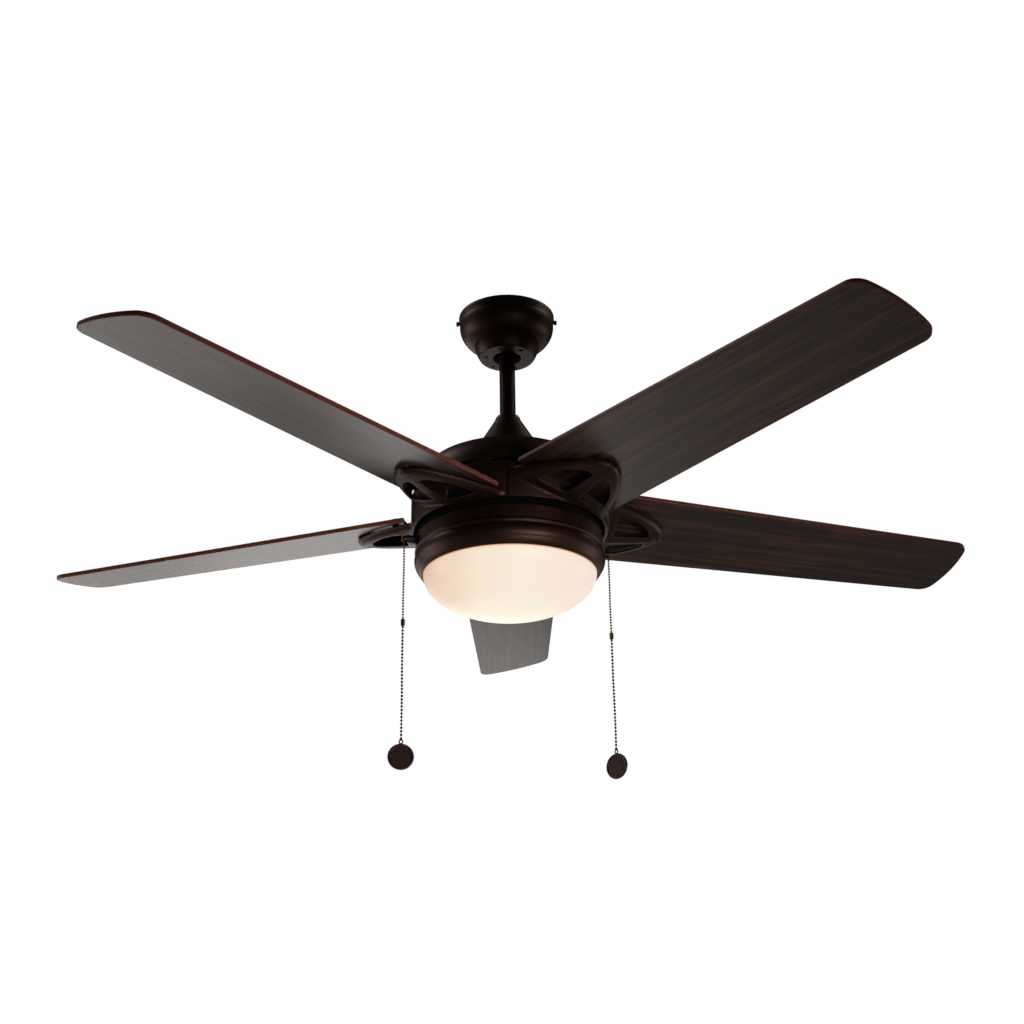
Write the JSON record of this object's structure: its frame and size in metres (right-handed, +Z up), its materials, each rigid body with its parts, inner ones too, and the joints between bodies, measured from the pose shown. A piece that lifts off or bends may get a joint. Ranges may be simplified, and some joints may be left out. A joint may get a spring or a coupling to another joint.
{
  "type": "ceiling fan with light",
  "caption": "Ceiling fan on a short downrod: dark bronze motor housing, walnut blades on keeled arms, a lit opal glass bowl below and two bead pull chains with round fobs.",
  "frame": {"origin": "centre of the hanger bracket's top face, where it meets the ceiling; the fan hangs in -Z", "axes": "+Z up along the downrod and the blades' spin axis; -Y is the side the pull-chain view faces, +X to its right"},
  "size_m": [1.273, 1.2195, 0.6352],
  "materials": {
    "oil_rubbed_bronze": "satin dark bronze powder coat",
    "walnut_laminate": "dark walnut veneer, satin lacquer, red-brown cut edge",
    "opal_glass": "frosted opal, lit from inside",
    "zinc_steel": "zinc plated",
    "dark_screw": "dark bronze screw heads",
    "nylon": "moulded black nylon",
    "cast_iron": "cast, lightly oiled",
    "lamination_steel": "stacked silicon steel",
    "copper_wire": "enamelled copper wire; brass stands in for copper",
    "black_plastic": "moulded",
    "white_enamel": "white baked enamel",
    "white_porcelain": "glazed",
    "bulb_opal": "frosted bulb",
    "cast_aluminium": "die cast",
    "bearing_steel": "ground",
    "rubber_grommet": "moulded rubber",
    "antique_brass": "darkened brass",
    "bronze_fob": "dark cast bronze"
  },
  "bodies": {
    "ceiling_mount": {"hanger_bracket": "zinc_steel", "canopy": "oil_rubbed_bronze", "canopy_screws": "dark_screw"},
    "fan_body": {"hanger_ball": "nylon", "ball_pin": "zinc_steel", "ball_set_screw": "zinc_steel", "downrod": "oil_rubbed_bronze", "coupling": "cast_iron", "coupling_set_screws": "zinc_steel", "clevis_pin": "zinc_steel", "cotter_pin": "zinc_steel", "coupling_cover": "oil_rubbed_bronze", "motor_dome": "oil_rubbed_bronze", "dome_screws": "zinc_steel", "motor_shaft": "zinc_steel", "stator_core": "lamination_steel", "stator_windings": "copper_wire", "mounting_plate": "zinc_steel", "shaft_nut": "zinc_steel", "lower_housing": "oil_rubbed_bronze", "housing_screws": "zinc_steel", "capacitor": "black_plastic", "reverse_switch": "black_plastic", "light_pan": "white_enamel", "pan_screws": "zinc_steel", "lamp_sockets": "white_porcelain", "bulbs": "bulb_opal", "glass_bowl": "opal_glass", "fan_switch": "black_plastic", "fan_switch_tip": "antique_brass", "light_switch": "black_plastic", "light_switch_tip": "antique_brass"},
    "rotor": {"rotor_upper_cover": "cast_aluminium", "rotor_lower_cover": "cast_aluminium", "rotor_cage": "lamination_steel", "upper_bearing": "bearing_steel", "lower_bearing": "bearing_steel", "blade_screws": "dark_screw", "blade_grommets": "rubber_grommet", "arm_screws": "zinc_steel", "blade_arm_1": "oil_rubbed_bronze", "blade_arm_2": "oil_rubbed_bronze", "blade_arm_3": "oil_rubbed_bronze", "blade_arm_4": "oil_rubbed_bronze", "blade_arm_5": "oil_rubbed_bronze", "blade_1": "walnut_laminate", "blade_2": "walnut_laminate", "blade_3": "walnut_laminate", "blade_4": "walnut_laminate", "blade_5": "walnut_laminate"},
    "fan_pull": {"fan_chain_upper": "antique_brass", "fan_chain_connector": "antique_brass", "fan_chain_lower": "antique_brass", "fan_chain_fob": "bronze_fob"},
    "light_pull": {"light_chain_upper": "antique_brass", "light_chain_connector": "antique_brass", "light_chain_lower": "antique_brass", "light_chain_fob": "bronze_fob"},
    "reverse_slider": {"reverse_knob": "black_plastic"}
  },
  "joints": [
    {"name": "hanger_swing", "type": "hinge", "parent": "ceiling_mount", "child": "fan_body", "pos_m": [0, 0, -0.034], "axis": [0, 1, 0], "range_deg": [-15, 15]},
    {"name": "blade_spin", "type": "hinge", "parent": "fan_body", "child": "rotor", "pos_m": [0, 0, -0.296], "axis": [0, 0, 1], "continuous": true},
    {"name": "fan_chain_pull", "type": "slide", "parent": "fan_body", "child": "fan_pull", "axis": [0, 0, -1], "range_m": [0, 0.008], "stiffness_N_per_m": 500, "springref_m": -0.006},
    {"name": "light_chain_pull", "type": "slide", "parent": "fan_body", "child": "light_pull", "axis": [0, 0, -1], "range_m": [0, 0.008], "stiffness_N_per_m": 500, "springref_m": -0.006},
    {"name": "reverse_slide", "type": "slide", "parent": "fan_body", "child": "reverse_slider", "axis": [1, 0, 0], "range_m": [0, 0.009]}
  ]
}
